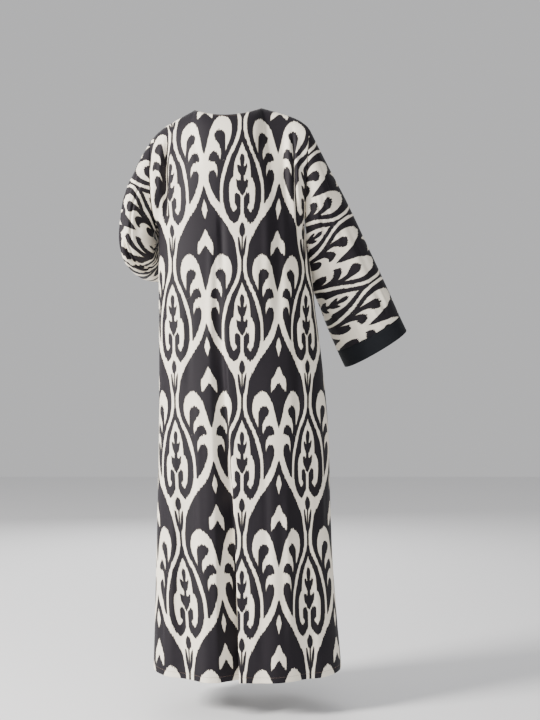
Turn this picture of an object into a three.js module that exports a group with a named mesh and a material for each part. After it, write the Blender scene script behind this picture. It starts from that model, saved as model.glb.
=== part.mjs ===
// An open, ankle-length robe as it is worn: a back, two fronts that hang edge to edge,
// two wide set-in sleeves and two cuff bands, each one a thin wall of cloth.
// The origin is the middle of the neck opening, level with the shoulder seams at the neck.
// +Z is up and the fronts face -Y, so the wearer's left is +X. All sizes are in millimetres.

import * as THREE from 'three';

// Cloth
const CLOTH_COLOUR = 0x8b857d;
const CLOTH_ROUGHNESS = 0.75;
const CUFF_COLOUR = 0x14171d;
const CUFF_ROUGHNESS = 0.7;
const WALL = 2;
const SEAM_GAP = 0.3;
const HALF_GAP = SEAM_GAP / 2;
const SHOULDER_HALF_GAP = 0.22;

// Levels
const UNDERARM_Z = -290;
const HEM_SIDE_Z = -1341;
const HEM_DIP = 12;

// Neck opening and shoulders, as points on the body: x, y, z
const NECK_LEFT = [85, -5, -5];
const NECK_RIGHT = [-77, -5, 0];
const TIP_LEFT = [193, -28, -76];
const TIP_RIGHT = [-191, 22, -54];
const SHOULDER_CROWN = { rise: 16, power: 5 };
const NECK_BACK_REACH = 60;
const NECK_BACK_DROP = 24;
const NECK_FRONT_REACH = 74;
const NECK_FRONT_DROP = 90;
const NECK_MEET_X = -4;
// How square the neck's curves are: 1 is a plain arc
const NECK_ROUND = { backPlan: 0.7, backDrop: 0.8, frontDrop: 1.3 };

// The body's plan at each level: x of its left and right sides, y of those sides, of its back
// and of its front, and the x of the line where the two fronts meet, with the width of the gap between them.
const SECTIONS = [
  { z: UNDERARM_Z, left: 173, right: -180, side: 0, back: 108, front: -116, meet: -20, open: 8 },
  { z: -380, left: 172, right: -187, side: 2, back: 112, front: -122, meet: -24, open: 8 },
  { z: -450, left: 171, right: -202, side: 4, back: 114, front: -126, meet: -27, open: 9 },
  { z: -640, left: 170, right: -225, side: 9, back: 120, front: -132, meet: -33, open: 11 },
  { z: -790, left: 170, right: -238, side: 13, back: 127, front: -137, meet: -38, open: 13 },
  { z: -950, left: 173, right: -242, side: 17, back: 135, front: -143, meet: -43, open: 16 },
  { z: -1100, left: 176, right: -248, side: 21, back: 143, front: -150, meet: -48, open: 19 },
  { z: -1230, left: 179, right: -258, side: 24, back: 149, front: -157, meet: -53, open: 22 },
  { z: -1353, left: 182, right: -268, side: 27, back: 155, front: -165, meet: -57, open: 26 },
];
const PLAN_POWER = 2.25;

// The deep fold down the back: its visible edge, how far it goes in, how far it runs under
// the right-hand lobe, and half of the width of cloth that it takes up.
const DEEP_FOLD = [
  { z: UNDERARM_Z, edge: 12, deep: 0, under: 0, half: 20 },
  { z: -500, edge: 4, deep: 6, under: 3, half: 22 },
  { z: -680, edge: -3, deep: 14, under: 9, half: 23 },
  { z: -1000, edge: -18, deep: 25, under: 19, half: 25 },
  { z: -1353, edge: -28, deep: 35, under: 31, half: 26 },
];

// Softer folds: out is positive for a ridge and negative for a trough. Each fades in from
// its first level to its last, where it has its full size.
const BACK_FOLDS = [
  { fromX: 98, toX: 104, half: 46, out: -12, fromZ: -560, toZ: -1353 },
  { fromX: 55, toX: 48, half: 34, out: 7, fromZ: -420, toZ: -1353 },
  { fromX: -92, toX: -112, half: 40, out: 6, fromZ: -480, toZ: -1353 },
  { fromX: -158, toX: -182, half: 40, out: -11, fromZ: -520, toZ: -1353 },
];
const FRONT_FOLDS = [
  { fromX: 128, toX: 120, half: 38, out: -14, fromZ: -470, toZ: -1353 },
  { fromX: 62, toX: 50, half: 34, out: 9, fromZ: -420, toZ: -1353 },
  { fromX: -95, toX: -122, half: 34, out: 10, fromZ: -400, toZ: -1353 },
  { fromX: -165, toX: -186, half: 38, out: -16, fromZ: -520, toZ: -1353 },
];

// The fold that stands behind the right armhole, where the raised arm draws the cloth in.
const ARMHOLE_RIDGE = { topX: -146, lowX: -168, half: 26, out: 17, fromZ: -60, toZ: -330 };

// Where a column of cloth leaves the top edge and arrives at the underarm level
const CROWN_PULL = 190;
const NECK_PULL = 150;
const NECK_STEEP = 0.9;
const CHEST_PULL = 235;
const ARMHOLE_SCOOP = { left: 250, right: 190, front: 250 };
const SCOOP_REACH = { back: 0.14, front: 0.42 };
const SCOOP_LEVEL = 0.75;
const ARMHOLE_BOW = { left: 60, right: 0 };
const FRONT_NECK_PULL = 60;
const FRONT_NECK_FAN = { out: 110, cells: 6 };
const ARRIVAL_STEP = 10;
const HEM_ROUND = 0.8;
const RIDGE_ROUND = 0.8;

// Columns across the back: left shoulder, left of the fold, the fold, right of it, right shoulder
const BACK_COLUMNS = [
  { cells: 9, topX: NECK_LEFT[0] },
  { cells: 5, topX: 32 },
  { cells: 12, topX: 2 },
  { cells: 6, topX: NECK_RIGHT[0] },
  { cells: 9, topX: TIP_RIGHT[0] },
];
const SHOULDER_CELLS = 7;
const NECK_CELLS = 11;
const UPPER_ROWS = 13;
const LOWER_ROWS = 14;

// Sleeve rings after the armhole: the point that lies over the arm, the one under it, how far
// the ring stands behind and before the line between them, and the pitch of its back below level.
const LEFT_SLEEVE = [
  { over: [224, -16, -136], under: [185, -12, -305], back: 66, pitch: 2, front: 70, rise: 2 },
  { over: [252, -8, -222], under: [181, -6, -322], back: 76, pitch: 18, front: 74, rise: 18 },
  { over: [262, 0, -298], under: [180, -14, -334], back: 80, pitch: 50, front: 92, rise: 28 },
  { over: [250, -105, -326], under: [166, -79, -334], back: 78, pitch: 84, front: 72, rise: 71 },
  { over: [211, -205, -334], under: [125, -161, -340], back: 76, pitch: 88, front: 74, rise: 86 },
  { over: [163, -275, -341], under: [95, -207, -346], back: 75, pitch: 88, front: 73, rise: 88 },
  { over: [131, -307, -345], under: [63, -239, -350], back: 75, pitch: 88, front: 73, rise: 88 },
];
const RIGHT_SLEEVE = [
  { over: [-237, 10, -142], under: [-190, -14, -328], back: 60, pitch: 4, front: 66, rise: 4 },
  { over: [-283, -6, -226], under: [-196, -34, -378], back: 58, pitch: 8, front: 62, rise: 8 },
  { over: [-331, -24, -323], under: [-207, -52, -437], back: 57, pitch: 10, front: 58, rise: 10 },
  { over: [-378, -42, -419], under: [-231, -66, -510], back: 56, pitch: 11, front: 57, rise: 11 },
  { over: [-416, -58, -500], under: [-263, -78, -585], back: 56, pitch: 11, front: 56, rise: 11 },
  { over: [-434, -65, -536], under: [-282, -85, -625], back: 56, pitch: 11, front: 56, rise: 11 },
];
const SLEEVE_POWER = 2.15;
const AROUND = 2 * UPPER_ROWS;
const SLEEVE_CELLS = 2;
const CUFF_CELLS = 2;
const CUFF_WIDTH = 45;
const UNDERARM_CLEAR = 2.4;
const UNDERARM_CLEAR_REACH = 0.25;
const TUBE_STEP = 5e-3;

// Sleeve folds: turn is the place around the sleeve from 0 over the arm, through a quarter at
// the back, and ring is the place along it, counted in rows of the sleeve's table.
const LEFT_SLEEVE_FOLDS = [
  { turn: 0.3, half: 0.07, fromRing: 0.5, midRing: 1.6, toRing: 2.9, out: -9 },
  { turn: 0.14, half: 0.06, fromRing: 1.4, midRing: 2.5, toRing: 3.4, out: -8 },
  { turn: 0.42, half: 0.06, fromRing: 1.8, midRing: 2.9, toRing: 4.2, out: 6 },
];
const RIGHT_SLEEVE_FOLDS = [
  { turn: 0.22, half: 0.07, fromRing: 0.6, midRing: 2.6, toRing: 5.6, out: -6 },
  { turn: 0.36, half: 0.06, fromRing: 1.2, midRing: 3.4, toRing: 5.6, out: 5 },
  { turn: 0.78, half: 0.08, fromRing: 0.8, midRing: 2.8, toRing: 5.4, out: -7 },
];

const clamp01 = (value) => Math.min(1, Math.max(0, value));
const mix = (from, to, share) => from + (to - from) * share;
const mixPoints = (from, to, share) => from.map((value, axis) => mix(value, to[axis], share));
const ease = (share) => {
  const held = clamp01(share);
  return held * held * (3 - 2 * held);
};
const bell = (offset) => (Math.abs(offset) < 1 ? Math.cos((offset * Math.PI) / 2) ** 2 : 0);
const add = (a, b, scale = 1) => a.map((value, axis) => value + scale * b[axis]);
const dot = (a, b) => a[0] * b[0] + a[1] * b[1] + a[2] * b[2];
const cross = (a, b) => [
  a[1] * b[2] - a[2] * b[1],
  a[2] * b[0] - a[0] * b[2],
  a[0] * b[1] - a[1] * b[0],
];
const unit = (a) => {
  const length = Math.hypot(...a);
  return a.map((value) => value / length);
};

// A smooth value between four neighbours of a table
function between(before, from, to, after, share) {
  const leave = (to - before) / 2;
  const arrive = (after - from) / 2;
  const left = 1 - share;
  return (1 + 2 * share) * left * left * from + share * left * left * leave
    + share * share * (3 - 2 * share) * to - share * share * left * arrive;
}

// One column of a table whose rows go down in z, read at any level
function atLevel(table, column, z) {
  const last = table.length - 1;
  let row = 0;
  while (row < last - 1 && z < table[row + 1].z) row += 1;
  const share = clamp01((table[row].z - z) / (table[row].z - table[row + 1].z));
  const pick = (index) => table[Math.min(last, Math.max(0, index))][column];
  return between(pick(row - 1), pick(row), pick(row + 1), pick(row + 2), share);
}

// A point of the body's plan: turn runs from 0 at the left side to 1 at the right side
function planPoint(z, turn, side) {
  const left = atLevel(SECTIONS, 'left', z);
  const right = atLevel(SECTIONS, 'right', z);
  const angle = turn * Math.PI;
  const across = Math.cos(angle);
  const reach = Math.abs(Math.sin(angle)) ** (2 / PLAN_POWER);
  const swing = Math.sign(across) * Math.abs(across) ** (2 / PLAN_POWER);
  const x = (left + right) / 2 + ((left - right) / 2) * swing;
  const middle = atLevel(SECTIONS, 'side', z);
  return [x, mix(middle, atLevel(SECTIONS, side, z), reach)];
}

// The turn at which the plan has a given x
function turnAt(z, x) {
  const left = atLevel(SECTIONS, 'left', z);
  const right = atLevel(SECTIONS, 'right', z);
  const across = (2 * x - left - right) / (left - right);
  return Math.acos(Math.sign(across) * Math.abs(across) ** (PLAN_POWER / 2)) / Math.PI;
}

// Where each column of the back lies around the plan, so that the fold keeps its own columns
function backTurn(z, s) {
  const edge = atLevel(DEEP_FOLD, 'edge', z);
  const half = atLevel(DEEP_FOLD, 'half', z);
  const foldStart = turnAt(z, edge + 2 * half);
  const foldEnd = turnAt(z, edge);
  const [a, b, c, d, e] = BACK_COLUMNS.map((part) => part.cells);
  const total = a + b + c + d + e;
  const startS = (a + b) / total;
  const endS = (a + b + c) / total;
  if (s < startS) return (foldStart * s) / startS;
  if (s < endS) return mix(foldStart, foldEnd, (s - startS) / (endS - startS));
  return mix(foldEnd, 1, (s - endS) / (1 - endS));
}

function softFolds(folds, x, z) {
  return folds.reduce((sum, fold) => {
    const share = clamp01((fold.fromZ - z) / (fold.fromZ - fold.toZ));
    const middle = mix(fold.fromX, fold.toX, share);
    return sum + fold.out * ease(share) * bell((x - middle) / fold.half);
  }, 0);
}

// The body below the underarm, with its folds
function lowerPoint(side, turn, z) {
  const [planX, planY] = planPoint(z, turn, side);
  const out = side === 'back' ? 1 : -1;
  const fold = softFolds(side === 'back' ? BACK_FOLDS : FRONT_FOLDS, planX, z);
  const point = [planX, planY + out * fold, z];
  if (side === 'back') {
    const half = atLevel(DEEP_FOLD, 'half', z);
    const depth = bell((planX - atLevel(DEEP_FOLD, 'edge', z) - half) / half);
    point[0] -= depth * atLevel(DEEP_FOLD, 'under', z);
    point[1] -= depth * atLevel(DEEP_FOLD, 'deep', z);
  }
  return point;
}

function hemZ(turn) {
  return HEM_SIDE_Z - HEM_DIP * Math.sin(Math.PI * turn) ** HEM_ROUND;
}

// A shoulder's line from the neck to its tip, crowned over the wearer's shoulder
function shoulderPoint(neck, tip, share) {
  const { rise, power } = SHOULDER_CROWN;
  return add(mixPoints(neck, tip, share), [0, 0, rise * share * (1 - share ** power)]);
}

// The back's top edge: left shoulder, back neck, right shoulder
function backTop(s) {
  const total = BACK_COLUMNS.reduce((sum, part) => sum + part.cells, 0);
  let cell = s * total;
  let x = TIP_LEFT[0];
  for (const part of BACK_COLUMNS) {
    x = mix(x, part.topX, clamp01(cell / part.cells));
    cell -= part.cells;
  }
  if (x >= NECK_LEFT[0]) {
    return shoulderPoint(NECK_LEFT, TIP_LEFT, (x - NECK_LEFT[0]) / (TIP_LEFT[0] - NECK_LEFT[0]));
  }
  if (x <= NECK_RIGHT[0]) {
    return shoulderPoint(NECK_RIGHT, TIP_RIGHT, (x - NECK_RIGHT[0]) / (TIP_RIGHT[0] - NECK_RIGHT[0]));
  }
  const share = (NECK_LEFT[0] - x) / (NECK_LEFT[0] - NECK_RIGHT[0]);
  const round = Math.sin(share * Math.PI);
  const level = mixPoints(NECK_LEFT, NECK_RIGHT, share);
  return [x,
    level[1] + NECK_BACK_REACH * round ** NECK_ROUND.backPlan,
    level[2] - NECK_BACK_DROP * round ** NECK_ROUND.backDrop];
}

// A front's top edge: its shoulder, then its half of the front neck down to the meeting line
function frontTop(left, s) {
  const tip = left ? TIP_LEFT : TIP_RIGHT;
  const neck = left ? NECK_LEFT : NECK_RIGHT;
  const cell = s * (SHOULDER_CELLS + NECK_CELLS);
  if (cell <= SHOULDER_CELLS) return shoulderPoint(neck, tip, 1 - cell / SHOULDER_CELLS);
  const round = (((cell - SHOULDER_CELLS) / NECK_CELLS) * Math.PI) / 2;
  const half = SECTIONS[0].open / 2;
  const meet = NECK_MEET_X + (left ? half : -half);
  return [
    mix(meet, neck[0], Math.cos(round)),
    neck[1] - NECK_FRONT_REACH * Math.sin(round),
    neck[2] - NECK_FRONT_DROP * Math.sin(round) ** NECK_ROUND.frontDrop,
  ];
}

// A column of cloth between the top edge and the underarm level
function upperPoint(top, chest, leave, arrive, t) {
  return top.map((value, axis) => {
    const left = 1 - t;
    return (1 + 2 * t) * left * left * value + t * left * left * leave[axis]
      + t * t * (3 - 2 * t) * chest[axis] - t * t * left * arrive[axis];
  });
}

// The direction in which a column arrives at the underarm level, in line with the cloth below it
// but swept round under the arm at the armhole's edge
function arrival(side, turnOf, edge, scoop, bow) {
  const below = UNDERARM_Z - ARRIVAL_STEP;
  const chest = lowerPoint(side, turnOf(UNDERARM_Z), UNDERARM_Z);
  const run = add(lowerPoint(side, turnOf(below), below), chest, -1);
  const arrive = run.map((value) => (value * CHEST_PULL * (1 - SCOOP_LEVEL * edge)) / ARRIVAL_STEP);
  arrive[0] -= bow;
  arrive[1] += scoop;
  return arrive;
}

// A point of the back with the fold behind the armhole added
function armholeRidge(point) {
  const { topX, lowX, half, out, fromZ, toZ } = ARMHOLE_RIDGE;
  const down = clamp01((fromZ - point[2]) / (fromZ - toZ));
  const swell = Math.sin(Math.PI * down) ** RIDGE_ROUND;
  const push = out * swell * bell((point[0] - mix(topX, lowX, down)) / half);
  return add(point, [0, 1, 0], push);
}

// Points of the three panels: s goes across the cloth and t down it, 1 at the underarm and 2 at the hem
function backPoint(s, t) {
  const hemTurn = backTurn(SECTIONS.at(-1).z, s);
  if (t >= 1) {
    const z = mix(UNDERARM_Z, hemZ(hemTurn), t - 1);
    return armholeRidge(lowerPoint('back', backTurn(z, s), z));
  }
  const top = backTop(s);
  const chest = lowerPoint('back', backTurn(UNDERARM_Z, s), UNDERARM_Z);
  const neckMiddle = (NECK_LEFT[0] + NECK_RIGHT[0]) / 2;
  const neckShare = bell((top[0] - neckMiddle) / (NECK_LEFT[0] - neckMiddle));
  const edgeLeft = bell(s / SCOOP_REACH.back);
  const edgeRight = bell((1 - s) / SCOOP_REACH.back);
  const edge = edgeLeft + edgeRight;
  const leave = [0, mix(CROWN_PULL, NECK_PULL, neckShare), -NECK_STEEP * NECK_PULL * neckShare];
  const scoop = ARMHOLE_SCOOP.left * edgeLeft + ARMHOLE_SCOOP.right * edgeRight;
  const bow = ARMHOLE_BOW.left * edgeLeft - ARMHOLE_BOW.right * edgeRight;
  const arrive = arrival('back', (z) => backTurn(z, s), edge, -scoop, bow);
  return armholeRidge(upperPoint(top, chest, leave, arrive, t));
}

function frontPoint(left, s, t) {
  const turnOf = (z) => {
    const half = atLevel(SECTIONS, 'open', z) / 2;
    const meet = turnAt(z, atLevel(SECTIONS, 'meet', z) + (left ? half : -half));
    return left ? meet * s : 1 - (1 - meet) * s;
  };
  if (t >= 1) {
    const z = mix(UNDERARM_Z, hemZ(turnOf(SECTIONS.at(-1).z)), t - 1);
    return lowerPoint('front', turnOf(z), z);
  }
  const top = frontTop(left, s);
  const chest = lowerPoint('front', turnOf(UNDERARM_Z), UNDERARM_Z);
  const cell = s * (SHOULDER_CELLS + NECK_CELLS) - SHOULDER_CELLS;
  const neckShare = ease(cell / NECK_CELLS);
  const fan = (left ? 1 : -1) * FRONT_NECK_FAN.out * bell(cell / FRONT_NECK_FAN.cells);
  const edge = bell(s / SCOOP_REACH.front);
  const leave = [fan, -mix(CROWN_PULL, FRONT_NECK_PULL, neckShare), -NECK_STEEP * NECK_PULL * neckShare];
  const bow = left ? ARMHOLE_BOW.left : -ARMHOLE_BOW.right;
  const arrive = arrival('front', turnOf, edge, ARMHOLE_SCOOP.front * edge, bow * edge);
  return upperPoint(top, chest, leave, arrive, t);
}

// The direction out of the cloth at a point of a surface, from two small steps along it
function facing(surface, s, t, low, high, flip, step = 1e-4) {
  const s0 = Math.max(low[0], s - step);
  const s1 = Math.min(high[0], s + step);
  const t0 = Math.max(low[1], t - step);
  const t1 = Math.min(high[1], t + step);
  const across = add(surface(s1, t), surface(s0, t), -1);
  const down = add(surface(s, t1), surface(s, t0), -1);
  const out = unit(cross(across, down));
  return flip ? out.map((value) => -value) : out;
}

// A closed wall from a grid of outer points and a grid of inner points
function wallMesh(name, outer, inner, closed, colour, roughness) {
  const rows = outer.length;
  const columns = outer[0].length;
  const positions = [...outer.flat(2), ...inner.flat(2)];
  const at = (row, column, layer) => layer * rows * columns + row * columns + (column % columns);
  const indices = [];
  const quad = (a, b, c, d) => indices.push(a, b, c, a, c, d);
  const lastColumn = closed ? columns : columns - 1;
  for (let row = 0; row < rows - 1; row += 1) {
    for (let column = 0; column < lastColumn; column += 1) {
      quad(at(row, column, 0), at(row + 1, column, 0), at(row + 1, column + 1, 0), at(row, column + 1, 0));
      quad(at(row, column, 1), at(row, column + 1, 1), at(row + 1, column + 1, 1), at(row + 1, column, 1));
    }
  }
  for (let column = 0; column < lastColumn; column += 1) {
    quad(at(0, column, 0), at(0, column + 1, 0), at(0, column + 1, 1), at(0, column, 1));
    const end = rows - 1;
    quad(at(end, column, 1), at(end, column + 1, 1), at(end, column + 1, 0), at(end, column, 0));
  }
  if (!closed) {
    for (let row = 0; row < rows - 1; row += 1) {
      const end = columns - 1;
      quad(at(row, 0, 1), at(row + 1, 0, 1), at(row + 1, 0, 0), at(row, 0, 0));
      quad(at(row, end, 0), at(row + 1, end, 0), at(row + 1, end, 1), at(row, end, 1));
    }
  }
  const geometry = new THREE.BufferGeometry();
  geometry.setAttribute('position', new THREE.Float32BufferAttribute(positions, 3));
  geometry.setIndex(indices);
  geometry.computeVertexNormals();
  const material = new THREE.MeshStandardMaterial({ color: colour, roughness, metalness: 0 });
  const mesh = new THREE.Mesh(geometry, material);
  mesh.name = name;
  return mesh;
}

// A panel of the body, kept clear of its neighbours along its seams. Flip is true where s runs
// so that its cross product with t points into the robe.
function panel(name, surface, columns, flip) {
  const levels = [];
  for (let row = 0; row <= UPPER_ROWS; row += 1) levels.push(row / UPPER_ROWS);
  for (let row = 1; row <= LOWER_ROWS; row += 1) levels.push(1 + row / LOWER_ROWS);
  const outer = [];
  const inner = [];
  for (const t of levels) {
    const outerRow = [];
    const innerRow = [];
    for (let column = 0; column <= columns; column += 1) {
      const s = column / columns;
      const out = facing(surface, s, t, [0, 0], [1, 2], flip);
      let point = surface(s, t);
      if (column === 0 || column === columns) {
        const toward = column === 0 ? surface(1e-3, t) : surface(1 - 1e-3, t);
        point = add(point, unit(add(toward, point, -1)), HALF_GAP);
      }
      if (t === 0) point = add(point, unit(add(surface(s, 1e-3), point, -1)), SHOULDER_HALF_GAP);
      outerRow.push(point);
      innerRow.push(add(point, out, -WALL));
    }
    outer.push(flip ? outerRow : outerRow.reverse());
    inner.push(flip ? innerRow : innerRow.reverse());
  }
  return wallMesh(name, outer, inner, false, CLOTH_COLOUR, CLOTH_ROUGHNESS);
}

// One place on an armhole: the seam point, the body's outward direction there, and the
// direction that leads off the body's cloth across the seam
function armhole(left, turn) {
  const behind = turn <= 0.5;
  const t = behind ? 2 * turn : 2 - 2 * turn;
  const s = behind && !left ? 1 : 0;
  const surface = behind ? backPoint : (across, down) => frontPoint(left, across, down);
  const flip = behind || !left;
  const out = facing(surface, s, t, [0, 0], [1, 1], flip);
  const step = 1e-3;
  const along = add(surface(s, Math.min(1, t + step)), surface(s, Math.max(0, t - step)), -1);
  const inward = add(surface(s === 0 ? 0.01 : 0.99, t), surface(s, t), -1);
  let off = unit(cross(along, out));
  if (dot(off, inward) > 0) off = off.map((value) => -value);
  return { point: surface(s, t), out, off };
}

// A ring of a sleeve's table at a turn around it
function ringPoint(row, turn) {
  const angle = turn * 2 * Math.PI;
  const middle = mixPoints(row.over, row.under, 0.5);
  const up = add(row.over, middle, -1);
  const upUnit = unit(up);
  const pitch = THREE.MathUtils.degToRad(turn < 0.5 ? row.pitch : row.rise);
  const raw = [0, Math.cos(pitch), -Math.sin(pitch)];
  const back = unit(add(raw, upUnit, -dot(raw, upUnit)));
  const cos = Math.cos(angle);
  const sin = Math.sin(angle);
  const lift = Math.sign(cos) * Math.abs(cos) ** (2 / SLEEVE_POWER);
  const side = Math.sign(sin) * Math.abs(sin) ** (2 / SLEEVE_POWER) * (sin > 0 ? row.back : row.front);
  return add(add(middle, up, lift), back, side);
}

// A sleeve and its cuff as one smooth tube: turn around it, ring along it from 0 at the armhole
function sleeveSurface(left, table, folds) {
  const ringAt = (index, turn) => {
    const held = Math.min(table.length, Math.max(0, index));
    if (held > 0) return ringPoint(table[held - 1], turn);
    const seam = armhole(left, turn);
    const low = bell((turn - 0.5) / UNDERARM_CLEAR_REACH);
    return add(add(seam.point, seam.off, SEAM_GAP), seam.out, UNDERARM_CLEAR * low);
  };
  const bare = (turn, ring) => {
    const wrapped = ((turn % 1) + 1) % 1;
    const row = Math.min(table.length - 1, Math.floor(ring));
    const [a, b, c, d] = [-1, 0, 1, 2].map((shift) => ringAt(row + shift, wrapped));
    return b.map((value, axis) => between(a[axis], value, c[axis], d[axis], ring - row));
  };
  return (turn, ring) => {
    const point = bare(turn, ring);
    const push = folds.reduce((sum, fold) => {
      const along = ring < fold.midRing
        ? (ring - fold.fromRing) / (fold.midRing - fold.fromRing)
        : (fold.toRing - ring) / (fold.toRing - fold.midRing);
      const wrapped = ((turn % 1) + 1) % 1;
      return sum + fold.out * ease(along) * bell((wrapped - fold.turn) / fold.half);
    }, 0);
    if (push === 0) return point;
    return add(point, facing(bare, turn, ring, [-1, 0], [2, table.length], left, TUBE_STEP), push);
  };
}

function tube(name, surface, rings, turns, low, high, flip, firstOut, colour, roughness) {
  const outer = [];
  const inner = [];
  rings.forEach((ring, index) => {
    const outerRow = [];
    const innerRow = [];
    for (let column = 0; column < turns; column += 1) {
      const turn = column / turns;
      const point = surface(turn, ring);
      let out = facing(surface, turn, ring, [-1, low], [2, high], flip, TUBE_STEP);
      if (index === 0 && firstOut) out = firstOut(turn, out);
      outerRow.push(point);
      innerRow.push(add(point, out, -WALL));
    }
    outer.push(flip ? outerRow : outerRow.reverse());
    inner.push(flip ? innerRow : innerRow.reverse());
  });
  return wallMesh(name, outer, inner, true, colour, roughness);
}

function sleeveAndCuff(side, table, folds) {
  const left = side === 'left';
  const surface = sleeveSurface(left, table, folds);
  const seamRing = table.length - 1;
  const gap = HALF_GAP / CUFF_WIDTH;
  const sleeveRings = [];
  for (let cell = 0; cell < seamRing * SLEEVE_CELLS; cell += 1) sleeveRings.push(cell / SLEEVE_CELLS);
  sleeveRings.push(seamRing - gap);
  const cuffRings = [seamRing + gap];
  for (let cell = 1; cell <= CUFF_CELLS; cell += 1) cuffRings.push(seamRing + cell / CUFF_CELLS);
  // At the armhole the sleeve's edge stands square to the seam, so that the walls never meet
  const atSeam = (turn, out) => {
    const { off } = armhole(left, turn);
    const lean = Math.max(0, dot(out, off));
    return unit(add(out, off, -lean));
  };
  return [
    tube(`sleeve_${side}`, surface, sleeveRings, AROUND, 0, table.length, left, atSeam,
      CLOTH_COLOUR, CLOTH_ROUGHNESS),
    tube(`cuff_${side}`, surface, cuffRings, AROUND, 0, table.length, left, null,
      CUFF_COLOUR, CUFF_ROUGHNESS),
  ];
}

const robe = new THREE.Group();
const backCells = BACK_COLUMNS.reduce((sum, part) => sum + part.cells, 0);
const frontCells = SHOULDER_CELLS + NECK_CELLS;
robe.add(panel('back_panel', backPoint, backCells, true));
robe.add(panel('front_left', (s, t) => frontPoint(true, s, t), frontCells, false));
robe.add(panel('front_right', (s, t) => frontPoint(false, s, t), frontCells, true));
robe.add(...sleeveAndCuff('left', LEFT_SLEEVE, LEFT_SLEEVE_FOLDS));
robe.add(...sleeveAndCuff('right', RIGHT_SLEEVE, RIGHT_SLEEVE_FOLDS));

export default robe;
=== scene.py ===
import math

import bpy
import numpy as np
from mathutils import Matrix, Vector


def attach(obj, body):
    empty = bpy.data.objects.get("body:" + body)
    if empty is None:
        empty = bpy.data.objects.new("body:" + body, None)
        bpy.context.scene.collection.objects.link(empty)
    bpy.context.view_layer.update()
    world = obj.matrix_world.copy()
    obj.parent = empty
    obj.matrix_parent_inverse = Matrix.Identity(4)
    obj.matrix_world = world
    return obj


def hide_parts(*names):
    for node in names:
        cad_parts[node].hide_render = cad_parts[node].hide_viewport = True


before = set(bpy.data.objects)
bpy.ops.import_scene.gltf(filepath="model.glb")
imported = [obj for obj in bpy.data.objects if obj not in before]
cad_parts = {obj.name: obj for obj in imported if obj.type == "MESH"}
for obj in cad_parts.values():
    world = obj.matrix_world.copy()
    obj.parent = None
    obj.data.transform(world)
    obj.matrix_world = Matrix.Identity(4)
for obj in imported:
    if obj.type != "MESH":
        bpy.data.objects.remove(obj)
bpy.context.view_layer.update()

MM = 0.001


def add_object(name, data):
    thing = bpy.data.objects.new(name, data)
    bpy.context.collection.objects.link(thing)
    return thing


# Camera and light. The robe is seen from behind, level with the middle of its length. A soft
# strong light stands at the wearer's left, a weak one by the camera and one before the fronts.
CAMERA_PLACE = (-97 * MM, 3100 * MM, -610 * MM)
SEEN_HEIGHT = 1742.4 * MM
SENSOR = 36.0
camera_data = bpy.data.cameras.new("camera")
camera_data.sensor_fit = "VERTICAL"
camera_data.sensor_height = SENSOR
camera_data.lens = SENSOR * CAMERA_PLACE[1] / SEEN_HEIGHT
camera = add_object("camera", camera_data)
camera.location = CAMERA_PLACE
camera.rotation_euler = (math.radians(90), 0, math.radians(180))
bpy.context.scene.camera = camera

LIGHTS = (
    # name, place, size, power, colour
    ("key", (3.1, 1.7, 0.9), 1.2, 430, (1.0, 0.975, 0.94)),
    ("fill", (-0.4, 3.8, 0.5), 2.4, 40, (0.97, 0.98, 1.0)),
    ("front", (0.4, -2.8, 0.6), 2.4, 70, (1.0, 1.0, 1.0)),
)
LIGHT_AIM = (-0.05, 0, -0.65)
for name, place, size, power, colour in LIGHTS:
    lamp = bpy.data.lights.new(name, "AREA")
    lamp.shape = "DISK"
    lamp.size = size
    lamp.energy = power
    lamp.color = colour
    holder = add_object(name, lamp)
    holder.location = place
    aim = Vector(LIGHT_AIM) - Vector(place)
    holder.rotation_euler = aim.to_track_quat("-Z", "Y").to_euler()

world = bpy.data.worlds.new("studio")
world.use_nodes = True
background = world.node_tree.nodes["Background"]
background.inputs["Color"].default_value = (0.83, 0.83, 0.84, 1)
background.inputs["Strength"].default_value = 0.7
bpy.context.scene.world = world

# Floor. A plain pale studio floor below the hem, which hangs clear of it as when the robe is worn.
FLOOR_Z = -1440 * MM
FLOOR_REACH = 6.0
FLOOR_GREY = (0.72, 0.72, 0.73, 1)
bpy.ops.mesh.primitive_grid_add(x_subdivisions=2, y_subdivisions=2, size=2 * FLOOR_REACH)
floor = bpy.context.object
floor.name = "studio_floor"
floor.data.transform(floor.matrix_world)
floor.matrix_world.identity()
for corner in floor.data.vertices:
    corner.co.z = FLOOR_Z
floor_finish = bpy.data.materials.new("pale_floor")
floor_finish.use_nodes = True
floor_shader = floor_finish.node_tree.nodes["Principled BSDF"]
floor_shader.inputs["Base Color"].default_value = FLOOR_GREY
floor_shader.inputs["Roughness"].default_value = 0.9
floor.data.materials.append(floor_finish)


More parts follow.
